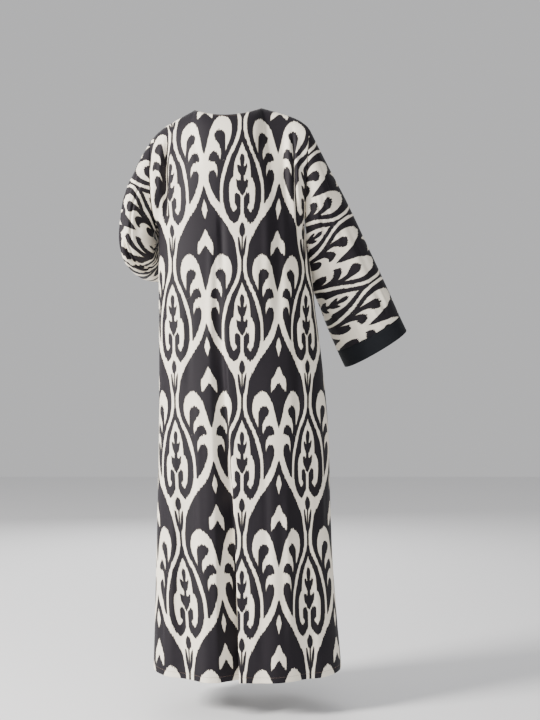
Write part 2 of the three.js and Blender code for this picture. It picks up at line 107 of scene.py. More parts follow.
# Printed cloth. A smooth matte satin woven on fine weft ribs, ivory with a black ikat: plumes
# and almonds that mirror about each warp band, dyed in the thread so that their edges feather.
class Wire:
    """One value in a node tree: sums and products of it add Math nodes."""

    def __init__(self, tree, socket):
        self.tree = tree
        self.socket = socket

    def make(self, kind, settings=None, inputs=None, output=0):
        node = self.tree.nodes.new(kind)
        for key, value in (settings or {}).items():
            if key == "curve":
                line = node.mapping.curves[0]
                while len(line.points) < len(value):
                    line.points.new(0.5, 0.5)
                for point, (across, up) in zip(line.points, value):
                    point.location = (across, up)
                    point.handle_type = "VECTOR"
                node.mapping.update()
            else:
                setattr(node, key, value)
        plug(node, inputs or {})
        return Wire(self.tree, node.outputs[output])

    def maths(self, operation, *values, clamp=False):
        settings = {"operation": operation, "use_clamp": clamp}
        return self.make("ShaderNodeMath", settings, dict(enumerate(values)))

    def __rsub__(self, other):
        return self.maths("SUBTRACT", other, self)

    def part(self, name):
        outputs = {"X": 0, "Y": 1, "Z": 2}
        return self.make("ShaderNodeSeparateXYZ", None, {0: self}, outputs[name])

    def point(self, across, down):
        return self.make("ShaderNodeCombineXYZ", None, {0: across, 1: down})

    def noise(self, scale, detail=2.0):
        return self.make("ShaderNodeTexNoise", None, {"Vector": self, "Scale": scale, "Detail": detail})

    def chance(self):
        return self.make("ShaderNodeTexWhiteNoise", {"noise_dimensions": "2D"}, {"Vector": self})

    def ribs(self, pitch):
        angle = self * (2 * math.pi / pitch)
        return angle.maths("SINE", angle)

    def blend(self, first, second):
        return self.make("ShaderNodeMix", {"data_type": "RGBA"}, {0: self, 6: first, 7: second}, 2)


def operation(kind):
    return lambda *values: values[0].maths(kind, *values)


for method, kind in (("__add__", "ADD"), ("__radd__", "ADD"), ("__sub__", "SUBTRACT"),
                     ("__mul__", "MULTIPLY"), ("__rmul__", "MULTIPLY"), ("__truediv__", "DIVIDE"),
                     ("low", "MINIMUM"), ("high", "MAXIMUM"), ("floor", "FLOOR"), ("wrap", "WRAP")):
    setattr(Wire, method, operation(kind))


def plug(node, inputs):
    """Sets a node's inputs, or links them where they are given as wires."""
    for key, value in inputs.items():
        if isinstance(value, Wire):
            value.tree.links.new(value.socket, node.inputs[key])
        else:
            node.inputs[key].default_value = value


def new_finish(name, kind, settings, output):
    """A material, its shader and the wire that comes out of a first node in it."""
    finish = bpy.data.materials.new(name)
    finish.use_nodes = True
    tree = finish.node_tree
    start = Wire(tree, None).make(kind, settings, None, output)
    return finish, tree.nodes["Principled BSDF"], start


def tinted(colour, tint, lift=0.0):
    return tuple(c * t + lift for c, t in zip(colour, tint)) + (1,)


def woven_finish(name, looks, shader_inputs, bump_strength):
    """A woven cloth's finish: looks gives its colour, roughness and relief at a place on it."""
    finish, shader, place = new_finish(name, "ShaderNodeUVMap", {"uv_map": "cloth"}, 0)
    colour, rough, relief = looks(place, place.part("X") / MM, place.part("Y") / MM)
    bump_inputs = {"Strength": bump_strength, "Distance": RELIEF_DEPTH, "Height": relief}
    bump = place.make("ShaderNodeBump", None, bump_inputs)
    plug(shader, {"Base Color": colour, "Roughness": rough, "Normal": bump} | shader_inputs)
    return finish


# The repeat is charted in millimetres: across from an almond's axis to a plume's axis, and down
# from the notch between two plumes. Each table is one edge as pairs of down and across.
HALF_REPEAT = 90.0
DROP = 335.0
CHART_TOP = -135.0
CHART_SIZE = 0.957
CHART_WIDE = 120.0
NOWHERE = 4.0
OGEE_OUTER = ((-135, 25), (-119, 18.5), (-106, 16.4), (-92, 14.3), (-78, 12.3), (-64, 11.7),
    (-50, 12.3), (-33, 16.2), (-19, 21.7), (-5, 28.7), (8, 34.9), (22, 40.4), (36, 44.6), (50, 48),
    (64, 50.8), (78, 52.4), (92, 53.2), (118, 53.4), (128, 52), (130, 0))
OGEE_INNER = ((-135, 9.4), (-119, 8.9), (-106, 7.6), (-92, 5), (-83, 2.2), (-76, 1.2), (-50, 1.2),
    (-45, 2.6), (-33, 4.7), (-19, 10.7), (-5, 16.9), (8, 23.8), (22, 28.7), (36, 32.8), (50, 36.6),
    (64, 40.2), (78, 42.8), (92, 43.8), (118, 43.8), (130, 43))
BODY_LEFT = ((-92, 60), (-91.5, 48.8), (-88, 41), (-83, 34.5), (-75, 28.7), (-61, 24.9), (-47, 24.2),
    (-33, 26.6), (-19, 32), (-9, 36.6), (-1.5, 39.4), (4, 41), (116, 41), (120, 43.5), (132, 42),
    (146, 38), (160, 31), (168, 24), (171.5, 20.5), (172.5, 0))
BODY_RIGHT = ((-92, 40), (-91.5, 48.8), (-89, 57), (-82, 63.5), (-75, 68), (-61, 75), (-47, 78.5),
    (-33, 82), (-19, 84.8), (-5.5, 88.6), (0, 92), (76, 92), (80, 89), (91, 85.8), (105, 80.9),
    (118, 75.6), (132, 67.6), (146, 58.5), (160, 47.8), (174, 38.6), (188, 31.1), (200, 25.5))
COMMA_LEFT = ((-57, 60), (-56, 52.9), (-52, 46), (-46, 42), (-39, 40.2), (-20, 40), (-4, 39.6), (0, 30),
    (17, 30))
COMMA_RIGHT = ((-57, 50), (-56, 53.5), (-52, 60.5), (-45, 65.2), (-39, 65), (-33, 62.6), (-22, 54.3),
    (-11, 49.6), (1, 48.8), (9, 49.6), (16.7, 51.4), (18, 12))
HOOK_LEFT = ((-10, 75), (-9, 68), (-7, 62.6), (-2, 58.4), (2.7, 55.7), (10, 52.9), (16.7, 51.2),
    (17.5, 30), (64, 30))
HOOK_RIGHT = ((-10, 65), (-9, 68.5), (-6, 73), (2.7, 77), (10, 78.3), (14, 78.2), (15.2, 76.5),
    (16.4, 69.5), (20.7, 62.6), (30.5, 58.3), (43, 56.9), (55, 57.4), (64, 58.4), (65, 12))
DROP_LEFT = ((36.6, 80), (37.5, 69), (39, 65.6), (41.6, 63.3), (52.7, 59.8), (63.8, 58.2), (64.6, 30),
    (122, 30))
DROP_RIGHT = ((36.6, 60), (37.5, 70), (39, 73.6), (41.6, 75.8), (50, 78.2), (64, 77.7), (78, 74),
    (92, 69.3), (105, 63.6), (116, 57.4), (122, 52.5), (123, 12))
ROOT = ((112, 0), (113, 4.2), (148, 4.2), (154, 6.6), (160, 9.5), (168, 15), (171.5, 20), (200, 20))
FRUIT = ((-25, 0), (-20, 1.6), (-13, 4), (-5, 7.6), (5, 11.6), (14, 14.8), (22, 17.2), (31, 19.3),
    (50, 20.9), (63, 21.4), (64, 23), (70, 27), (78, 30.2), (88, 31.4), (104, 31.4), (118, 30.5),
    (132, 28.3), (140, 25), (146, 20.7), (147, 0))
ARCH_LEFT = ((99.5, 16), (100, 11.6), (103, 8.6), (107, 6), (113, 4.2), (148, 4.2))
ARCH_RIGHT = ((99.5, 8), (100, 11.8), (102, 15), (105, 17.1), (125, 17.1), (129, 15), (133, 12),
    (138, 13.4), (146, 20.7), (147, 40))
STALK = ((2.5, 0), (7, 2.4), (14, 4.9), (20, 5.5), (30, 4.3), (39, 3.3), (62, 3.5), (74, 3.8), (100, 2),
    (103, 0))
LEAF_INNER = ((31.5, 14), (32, 10.2), (36, 6.6), (40, 3.1), (40.6, 0), (63, 0), (67, 16), (68, 13),
    (71, 8.4), (73.6, 3.8), (74.2, 0))
LEAF_OUTER = ((31.5, 6), (32, 10.4), (35, 11.4), (40, 11), (50, 8.8), (57, 5.8), (62, 3.4), (66, 0),
    (67.5, 8), (68, 13.2), (72, 13.6), (77, 12.8), (85, 12.5), (91, 10), (98, 6.2), (105, 3.2), (111, 0))
SLIVER = ((-135, 8.6), (-130, 7.0), (-120, 5.0), (-108, 3.3), (-96, 1.4), (-94, 0))
# These lie on a plume's axis or on an almond's axis below it, charted from 0 to a whole drop
DIAMOND = ((110, 0), (111, 0.8), (123, 5), (136, 7.9), (148, 4.8), (161, 0.6), (162, 0))
ARROW_OUTER = ((183, 0), (185, 2.2), (192, 5.6), (202, 10), (210, 15.2), (216, 19.3), (229, 20.6),
    (246, 19.9), (250, 0))
ARROW_INNER = ((222, 0), (223, 0.6), (231, 6), (238, 11), (244, 16.5), (249, 20))
BUD = ((166, 0), (167, 0.6), (174, 4.4), (182, 6.8), (190, 6.6), (196, 4.8), (200, 2.4))
BODY_RISE = 92.0
ROOT_TOP = 112.0
SLIVER_FROM = 1.2
BUD_END = 200.0
TRIM = 0.4
STALK_TRIM = 0.3
THREAD_STEP = 1.3
FEATHER = 4.2
BROAD_SLIP = 6.0
WANDER = 1.1
EDGE_BLUR = 1.3
INK_SPREAD = 1.0
OGEE_SPREAD = 0.7
WARM_TINT = (0.93, 0.91, 0.86)
WORN_TINT = (1.7, 1.7, 1.7)
WEFT_PITCH = 0.9
RELIEF_DEPTH = 0.3 * MM
CLOTH_SHEEN = {"Sheen Weight": 0.05, "Sheen Roughness": 0.4, "Specular IOR Level": 0.22}


def edge_curve(down, table, start, reach):
    """An edge of the chart, read at a distance down the repeat."""
    points = [((row - start) / reach, (across and across + NOWHERE) / CHART_WIDE) for row, across in table]
    first, last = points[0], points[-1]
    points = [(0.0, first[1])] * (first[0] > 0) + points + [(1.0, last[1])] * (last[0] < 1)
    share = (down - start) / reach
    return down.make("ShaderNodeFloatCurve", {"curve": points}, {1: share}) * CHART_WIDE - NOWHERE


def plume_print(place):
    """How much ivory there is at a place on the cloth, given in metres, from 0 to 1."""
    across = place.part("X") / (CHART_SIZE * MM)
    down = place.part("Y") / (CHART_SIZE * MM)
    # Each bundle of threads is bound and dyed by itself, so it slips a little up or down
    bundle = (across / THREAD_STEP).floor()
    slip = place.point(bundle, 0.5).chance() - 0.5
    broad = place.point(across * 0.06, down * 0.012).noise(1.0) - 0.5
    down = down + slip * FEATHER + broad * BROAD_SLIP
    wander = place.point(across * 0.05, down * 0.22).noise(1.0) - 0.5
    across = across + wander * WANDER
    side = across.maths("PINGPONG", across, HALF_REPEAT)
    upper = down.wrap(CHART_TOP + DROP, CHART_TOP)
    lower = down.wrap(DROP, 0.0)

    def edge(table):
        return edge_curve(upper, table, CHART_TOP, DROP)

    def edge_low(table):
        return edge_curve(lower, table, 0.0, DROP)

    def inside(left, right):
        return (side - edge(left)).low(edge(right) - side)

    ogee = inside(OGEE_INNER, OGEE_OUTER) - OGEE_SPREAD
    body = inside(BODY_LEFT, BODY_RIGHT)
    for left, right in ((COMMA_LEFT, COMMA_RIGHT), (HOOK_LEFT, HOOK_RIGHT), (DROP_LEFT, DROP_RIGHT)):
        body = body.low(0.0 - inside(left, right))
    body = body.low(upper + BODY_RISE)
    root = (edge(ROOT) - side).low(upper - ROOT_TOP)
    fruit = edge(FRUIT) - side - TRIM
    fruit = fruit.low(0.0 - inside(ARCH_LEFT, ARCH_RIGHT))
    fruit = fruit.low(side - edge(STALK) + STALK_TRIM)
    fruit = fruit.low(0.0 - inside(LEAF_INNER, LEAF_OUTER))
    sliver = (edge(SLIVER) - side).low(side - SLIVER_FROM)
    bud = (edge_low(BUD) - side).low(BUD_END - lower)
    middle = HALF_REPEAT - side
    diamond = edge_low(DIAMOND) - middle - TRIM
    arrow = (edge_low(ARROW_OUTER) - middle - TRIM).low(middle - edge_low(ARROW_INNER) + TRIM)
    ivory = ogee.high(body).high(root).high(fruit).high(sliver).high(diamond).high(arrow)
    ivory = ivory.low(0.0 - bud)
    return ivory.maths("MULTIPLY_ADD", ivory - INK_SPREAD, 1 / EDGE_BLUR, 0.5, clamp=True)


def printed_cloth(name, ivory_colour, black_colour, haze):
    """The printed cloth's finish. Haze is how much the black and ivory run into each other."""

    def looks(place, across, down):
        threads = place.point(across * 1.6, down * 0.06).noise(1.0, 3.0)
        wefts = place.point(across * 0.05, down * 1.1).noise(1.0, 3.0)
        patchy = place.point(across * 0.012, down * 0.012).noise(1.0)
        mask = plume_print(place) * (1.0 - 2 * haze) + haze
        patches = (threads * 0.6 + patchy * 0.6) - 0.1
        ivory = patches.blend(ivory_colour + (1,), tinted(ivory_colour, WARM_TINT))
        black = ((threads + wefts) * 0.5).blend(black_colour + (1,), tinted(black_colour, WORN_TINT, 0.001))
        rough = 0.62 + threads * 0.12 - mask * 0.04
        return mask.blend(black, ivory), rough, down.ribs(WEFT_PITCH) * 0.5 + threads * 0.7 + wefts * 0.8

    return woven_finish(name, looks, CLOTH_SHEEN, 0.25)


IVORY = (0.86, 0.80, 0.69)
BLACK = (0.0055, 0.0040, 0.0062)
cloth_face = printed_cloth("ikat_face", IVORY, BLACK, 0.0)
cloth_reverse = printed_cloth("ikat_reverse", (0.74, 0.69, 0.60), (0.030, 0.027, 0.030), 0.06)

# Back panel. One length of the printed cloth, cut with the shoulders and the back neck at the
# top, that hangs from the shoulder seams to a turned and topstitched hem with one deep fold.
CLOTH = 0.9
TURNED = 1.9
HEM_TURN = 12.0
UNDERARM_Z = -290.0
HEM_SIDE_Z = -1341.0
HEM_DIP = 12.0
NECK_LEFT = (85.0, -5.0, -5.0)
NECK_RIGHT = (-77.0, -5.0, 0.0)
TIP_LEFT = (193.0, -28.0, -76.0)
TIP_RIGHT = (-191.0, 22.0, -54.0)
SHOULDER_CROWN = {"rise": 16.0, "power": 5}
NECK_BACK_REACH = 60.0
NECK_BACK_DROP = 24.0
PLAN_POWER = 2.25
SECTIONS = {
    "z": (UNDERARM_Z, -380, -450, -640, -790, -950, -1100, -1230, -1353),
    "left": (173, 172, 171, 170, 170, 173, 176, 179, 182),
    "right": (-180, -187, -202, -225, -238, -242, -248, -258, -268),
    "side": (0, 2, 4, 9, 13, 17, 21, 24, 27),
    "back": (108, 112, 114, 120, 127, 135, 143, 149, 155),
    "front": (-116, -122, -126, -132, -137, -143, -150, -157, -165),
    "meet": (-20, -24, -27, -33, -38, -43, -48, -53, -57),
    "open": (8, 8, 9, 11, 13, 16, 19, 22, 26),
}
DEEP_FOLD = {
    "z": (UNDERARM_Z, -500, -680, -1000, -1353),
    "edge": (12, 4, -3, -18, -28),
    "deep": (0, 6, 14, 25, 35),
    "under": (0, 3, 9, 19, 31),
    "half": (20, 22, 23, 25, 26),
}
# Broad soft folds: x at the first and last level, half width, how far out, first and last level
BACK_FOLDS = (
    (98, 104, 46, -12, -560, -1353),
    (55, 48, 34, 7, -420, -1353),
    (-92, -112, 40, 6, -480, -1353),
    (-158, -182, 40, -11, -520, -1353),
)
RIDGE = {"top": -146.0, "low": -168.0, "half": 26.0, "out": 17.0, "from": -60.0, "to": -330.0}
CROWN_PULL = 190.0
NECK_PULL = 150.0
NECK_STEEP = 0.9
CHEST_PULL = 235.0
SCOOP = {"left": 250.0, "right": 190.0, "front": 250.0}
SCOOP_REACH = {"back": 0.14, "front": 0.42}
SCOOP_LEVEL = 0.75
ARMHOLE_BOW = 60.0
ARRIVAL_STEP = 10.0
BACK_CELLS = (9, 5, 12, 6, 9)
BACK_TOP_X = (TIP_LEFT[0], NECK_LEFT[0], 32.0, 2.0, NECK_RIGHT[0], TIP_RIGHT[0])
PRINT_AXIS_X = -32.0
PRINT_NOTCH_Z = -450.0


def mix(start, end, share):
    return start + (end - start) * share


def ease(share):
    held = np.clip(share, 0, 1)
    return held * held * (3 - 2 * held)


def unit(vectors):
    return vectors / np.maximum(np.linalg.norm(vectors, axis=-1, keepdims=True), 1e-9)


def bulge(value, power):
    return np.sign(value) * np.abs(value) ** power


def bell(offset):
    return np.where(np.abs(offset) < 1, np.cos(np.clip(offset, -1, 1) * math.pi / 2) ** 2, 0)


def bridge(start, leave, arrive, end, share):
    """A smooth way from one value to another, with how fast it leaves and arrives."""
    left = 1 - share
    rising = (1 + 2 * share) * left * left * start + share * left * left * leave
    return rising + share * share * (3 - 2 * share) * end - share * share * left * arrive


def between(before, start, end, after, share):
    """A smooth value between the middle two of four neighbours."""
    return bridge(start, (end - before) / 2, (after - start) / 2, end, share)


def at_level(table, column, z):
    """One column of a table whose levels go down, read at any level."""
    levels = np.array(table["z"], float)
    values = np.array(table[column], float)
    last = len(levels) - 1
    row = np.clip(np.searchsorted(-levels, -np.asarray(z), side="right") - 1, 0, last - 1)
    share = np.clip((levels[row] - z) / (levels[row] - levels[row + 1]), 0, 1)
    before, start, end, after = (values[np.clip(row + k, 0, last)] for k in (-1, 0, 1, 2))
    return between(before, start, end, after, share)


def plan_point(z, turn, side):
    left = at_level(SECTIONS, "left", z)
    right = at_level(SECTIONS, "right", z)
    across = np.cos(turn * math.pi)
    reach = np.abs(np.sin(turn * math.pi)) ** (2 / PLAN_POWER)
    x = (left + right) / 2 + (left - right) / 2 * bulge(across, 2 / PLAN_POWER)
    return x, mix(at_level(SECTIONS, "side", z), at_level(SECTIONS, side, z), reach)


def turn_at(z, x):
    left = at_level(SECTIONS, "left", z)
    right = at_level(SECTIONS, "right", z)
    across = (2 * x - left - right) / (left - right)
    return np.arccos(bulge(across, PLAN_POWER / 2)) / math.pi


def back_turn(z, s):
    edge = at_level(DEEP_FOLD, "edge", z)
    half = at_level(DEEP_FOLD, "half", z)
    fold_start = turn_at(z, edge + 2 * half)
    fold_end = turn_at(z, edge)
    start = sum(BACK_CELLS[:2]) / sum(BACK_CELLS)
    end = sum(BACK_CELLS[:3]) / sum(BACK_CELLS)
    before = fold_start * s / start
    inside = mix(fold_start, fold_end, (s - start) / (end - start))
    after = mix(fold_end, 1, (s - end) / (1 - end))
    return np.where(s < start, before, np.where(s < end, inside, after))


def soft_folds(folds, x, z):
    total = np.zeros_like(x)
    for from_x, to_x, half, out, from_z, to_z in folds:
        share = np.clip((from_z - z) / (from_z - to_z), 0, 1)
        total = total + out * ease(share) * bell((x - mix(from_x, to_x, share)) / half)
    return total


def lower_point(side, turn, z, folds):
    x, y = plan_point(z, turn, side)
    y = y + (1 if side == "back" else -1) * soft_folds(folds, x, z)
    if side == "back":
        half = at_level(DEEP_FOLD, "half", z)
        depth = bell((x - at_level(DEEP_FOLD, "edge", z) - half) / half)
        x = x - depth * at_level(DEEP_FOLD, "under", z)
        y = y - depth * at_level(DEEP_FOLD, "deep", z)
    return np.stack([x, y, z + np.zeros_like(x)], -1)


def hem_level(turn):
    return HEM_SIDE_Z - HEM_DIP * np.abs(np.sin(math.pi * turn)) ** 0.8


def shoulder_line(neck, tip, share):
    crown = SHOULDER_CROWN["rise"] * share * (1 - share ** SHOULDER_CROWN["power"])
    line = neck + (tip - neck) * share[..., None]
    line[..., 2] += crown
    return line


def back_top(s):
    cells = np.cumsum((0,) + BACK_CELLS) / sum(BACK_CELLS)
    x = np.interp(s, cells, BACK_TOP_X)
    left, right, tip_left, tip_right = map(np.array, (NECK_LEFT, NECK_RIGHT, TIP_LEFT, TIP_RIGHT))
    share = np.clip((left[0] - x) / (left[0] - right[0]), 0, 1)
    curve = np.sin(share * math.pi)
    neck = left + (right - left) * share[..., None]
    neck[..., 1] += NECK_BACK_REACH * curve ** 0.7
    neck[..., 2] -= NECK_BACK_DROP * curve ** 0.8
    on_left = shoulder_line(left, tip_left, (x - left[0]) / (tip_left[0] - left[0]))
    on_right = shoulder_line(right, tip_right, (x - right[0]) / (tip_right[0] - right[0]))
    return np.where((x > left[0])[..., None], on_left, np.where((x < right[0])[..., None], on_right, neck))


def panel_point(side, turn_of, folds, t, top, leave, edge, scoop, bow):
    """Points from a panel's top down to the chest, where t is 1, and on to the hem, where it is 2."""

    def hung(z):
        return lower_point(side, turn_of(z), z, folds)

    level = np.full_like(t, UNDERARM_Z)
    chest = hung(level)
    run = hung(level - ARRIVAL_STEP) - chest
    arrive = run * (CHEST_PULL * (1 - SCOOP_LEVEL * edge) / ARRIVAL_STEP)[..., None]
    arrive[..., 0] -= bow
    arrive[..., 1] += scoop
    upper = bridge(top, leave, arrive, chest, np.clip(t, 0, 1)[..., None])
    hem = hem_level(turn_of(np.full_like(t, SECTIONS["z"][-1])))
    lower = hung(mix(UNDERARM_Z, hem, np.maximum(t - 1, 0)))
    return np.where((t >= 1)[..., None], lower, upper)


def back_point(s, t):
    """The back: s runs from the left seam to the right one, t is 1 under the arm and 2 at the hem."""
    s, t = np.broadcast_arrays(np.asarray(s, float), np.asarray(t, float))
    top = back_top(s)
    middle = (NECK_LEFT[0] + NECK_RIGHT[0]) / 2
    neck = bell((top[..., 0] - middle) / (NECK_LEFT[0] - middle))
    edge_left = bell(s / SCOOP_REACH["back"])
    edge_right = bell((1 - s) / SCOOP_REACH["back"])
    leave = np.stack([0 * s, mix(CROWN_PULL, NECK_PULL, neck), -NECK_STEEP * NECK_PULL * neck], -1)
    scoop = -SCOOP["left"] * edge_left - SCOOP["right"] * edge_right
    point = panel_point("back", lambda z: back_turn(z, s), BACK_FOLDS, t, top, leave,
                        edge_left + edge_right, scoop, ARMHOLE_BOW * edge_left)
    down = np.clip((RIDGE["from"] - point[..., 2]) / (RIDGE["from"] - RIDGE["to"]), 0, 1)
    swell = np.abs(np.sin(math.pi * down)) ** 0.8
    middle = mix(RIDGE["top"], RIDGE["low"], down)
    point[..., 1] += RIDGE["out"] * swell * bell((point[..., 0] - middle) / RIDGE["half"])
    return point


def outward(grid, flip, closed=False):
    """The direction out of a grid of points at each of them. A closed one repeats its first column."""
    across = np.gradient(grid, axis=1)
    if closed:
        across[:, 0] = across[:, -1] = (grid[:, 1] - grid[:, -2]) / 2
    normal = unit(np.cross(across, np.gradient(grid, axis=0)))
    return -normal if flip else normal


def path_length(grid, axis):
    step = np.linalg.norm(np.diff(grid, axis=axis), axis=-1)
    pad = [(0, 0), (0, 0)]
    pad[axis] = (1, 0)
    return np.cumsum(np.pad(step, pad), axis=axis)


def creases(table, across, down):
    """Creases given in a table: each row runs from one place on the cloth to another, with its half
    width and how far it stands out, or in where that is negative."""
    total = np.zeros_like(across)
    for x0, z0, x1, z1, half, out in table:
        run = np.array([x1 - x0, z1 - z0], float)
        size = float(run @ run)
        share = ((across - x0) * run[0] + (down - z0) * run[1]) / size
        off = ((across - x0) * run[1] - (down - z0) * run[0]) / math.sqrt(size)
        along = ease(np.clip(share, 0, 1) * 3) * ease(np.clip(1 - share, 0, 1) * 3)
        total = total + out * along * bell(off / half)
    return total


def grain(grid, normal, flip, under_row, axis_from):
    """Each point's place on the flat cloth: across from the print's axis, looked for from one
    column on, or from the last column, and down from the print's notch. Above the underarm it
    follows the cloth's grain."""
    rows, columns = grid.shape[:2]
    along_row = path_length(grid, 1)
    way = np.array([grid[under_row, -1, 0] - grid[under_row, 0, 0], 0, 0])
    way = way / np.linalg.norm(way)
    weft = unit(way - normal * (normal @ way)[..., None])
    warp = np.cross(weft, normal) * (1 if flip else -1)
    step = np.diff(grid, axis=1)

    def gone(thread):
        """How far each point is along a thread's direction from its row's first one."""
        steps = (step * (thread[:, 1:] + thread[:, :-1]) / 2).sum(-1)
        return np.cumsum(np.pad(steps, ((0, 0), (1, 0))), axis=1)

    slid = gone(weft)
    sunk = gone(warp)
    place = np.full(rows, columns - 1.0)
    if axis_from is not None:
        for row in range(rows):
            last = axis_from + np.flatnonzero(grid[row, axis_from:, 0] < PRINT_AXIS_X)[0]
            before, after = grid[row, last - 1, 0], grid[row, last, 0]
            place[row] = last - 1 + (before - PRINT_AXIS_X) / (before - after)
    low = np.minimum(place.astype(int), columns - 2)
    share = place - low
    index = np.arange(rows)

    def on_axis(values):
        return values[index, low] * (1 - share) + values[index, low + 1] * share

    line = np.stack([on_axis(grid[..., k]) for k in range(3)], -1)
    line_step = np.linalg.norm(np.diff(line, axis=0), axis=-1)
    line_down = np.concatenate([[0], np.cumsum(line_step)])
    across = along_row - on_axis(along_row)[:, None]
    column_down = path_length(grid, 0)
    down = column_down.copy()
    for column in range(columns):
        levels = -grid[under_row:, column, 2]
        down[:, column] -= np.interp(-PRINT_NOTCH_Z, levels, column_down[under_row:, column])
    upper_across = slid - on_axis(slid)[:, None]
    upper_across += (across - upper_across)[under_row]
    upper_down = (line_down - line_down[under_row])[:, None] + sunk - on_axis(sunk)[:, None]
    upper_down += (down - upper_down)[under_row]
    upper = (index < under_row)[:, None]
    across = np.where(upper, upper_across, across)
    down = np.where(upper, upper_down, down)
    down = np.where(down < 0, down * PRINT_RISE, down)
    if axis_from is not None:
        # The cloth is drawn flat across the shoulder blades and pulled up in the middle and on
        # the right shoulder
        raised = ease((grid[..., 2] - FLAT_FROM_Z) / FLAT_RISE)
        down = down + RIGHT_PULL * raised * ease((across - HALF_REPEAT * 0.3) / HALF_REPEAT)
        down = down + MIDDLE_PULL * raised * bell(across / MIDDLE_REACH)
        across = across * (1 - FLAT_SHARE * raised)
        down = np.where(down < PRINT_TOP, PRINT_TOP + (down - PRINT_TOP) * TOP_SHARE, down)
    return across, down


def tucked(table, x, z, across, down):
    """The print's places beyond each tuck, where a strip of the cloth lies hidden in a fold."""
    for side, breadth, levels, places, hidden, raised in table:
        line = np.interp(-z, levels, places)
        share = ease(side * (x - line) / breadth + 0.5)
        across = across - side * share * np.interp(-z, levels, hidden)
        down = down + share * np.interp(-z, levels, raised)
    return across, down


def turned_rows(last, before, normal, depth):
    """Rows that turn an edge under and lay it flat inside."""
    along = unit(last - before)
    rows = []
    for angle in (45, 90, 135, 180):
        swing = math.radians(angle)
        out = TURNED / 2 * math.sin(swing)
        rows.append(last + along * out - normal * (TURNED / 2 * (1 - math.cos(swing))))
    for share in (0.3, 0.65, 1.0):
        rows.append(rows[3] - along * (depth * share)[:, None])
    return rows


def add_turned(grid, normal, uv, depth):
    """A grid with its last edge turned under, with the cloth's places carried on over the turn."""
    added = turned_rows(grid[-1], grid[-2], normal[-1], depth)
    whole = np.concatenate([grid, np.array(added)])
    run = path_length(whole[len(grid) - 1:], 0)[1:]
    return whole, np.concatenate([uv, uv[-1] + unit(uv[-1] - uv[-2]) * run[..., None]])


def sheet_mesh(name, grid, uv, reverse, skip=None):
    """A mesh from a grid of points in millimetres, with a UV map in metres."""
    rows, columns = grid.shape[:2]
    index = np.arange(rows * columns).reshape(rows, columns)
    quads = np.stack([index[:-1, :-1], index[1:, :-1], index[1:, 1:], index[:-1, 1:]], -1)
    quads = quads[np.ones((rows - 1, columns - 1), bool) if skip is None else ~skip]
    if reverse:
        quads = quads[:, ::-1]
    mesh = bpy.data.meshes.new(name)
    mesh.from_pydata((grid.reshape(-1, 3) * MM).tolist(), [], quads.tolist())
    layer = mesh.uv_layers.new(name="cloth")
    corners = np.empty(len(mesh.loops), dtype=np.int32)
    mesh.loops.foreach_get("vertex_index", corners)
    layer.data.foreach_set("uv", (uv.reshape(-1, 2)[corners] * MM).astype(np.float32).ravel())
    mesh.polygons.foreach_set("use_smooth", [True] * len(mesh.polygons))
    return add_object(name, mesh)


def cloth_piece(name, grid, uv, flip, finishes, skip=None):
    """A piece of cloth of its real thickness, with its face outside and its reverse inside."""
    piece = sheet_mesh(name, grid, uv, not flip, skip)
    for finish in finishes:
        piece.data.materials.append(finish)
    wall = piece.modifiers.new("wall", "SOLIDIFY")
    wall.thickness = CLOTH * MM
    wall.offset = -1.0
    wall.use_even_offset = False
    wall.material_offset = 1
    wall.material_offset_rim = 0
    return piece


def stand_for(piece, node):
    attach(piece, "root")
    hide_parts(node)
    return piece


def rolled(edges):
    """How far the cloth rolls in beside a seam, at distances from it in millimetres."""
    return -SEAM_ROLL * np.exp(-(edges / SEAM_ROLL_REACH) ** 2)


def inset_line(grid, normal, distance):
    """The line on the cloth that lies a distance in from the grid's last row."""
    path = path_length(grid[::-1], 0)
    lifted = (grid + normal * STITCH_LIFT)[::-1]
    columns = range(grid.shape[1])
    return np.array([
        [np.interp(distance, path[:, column], lifted[:, column, axis]) for axis in range(3)]
        for column in columns])


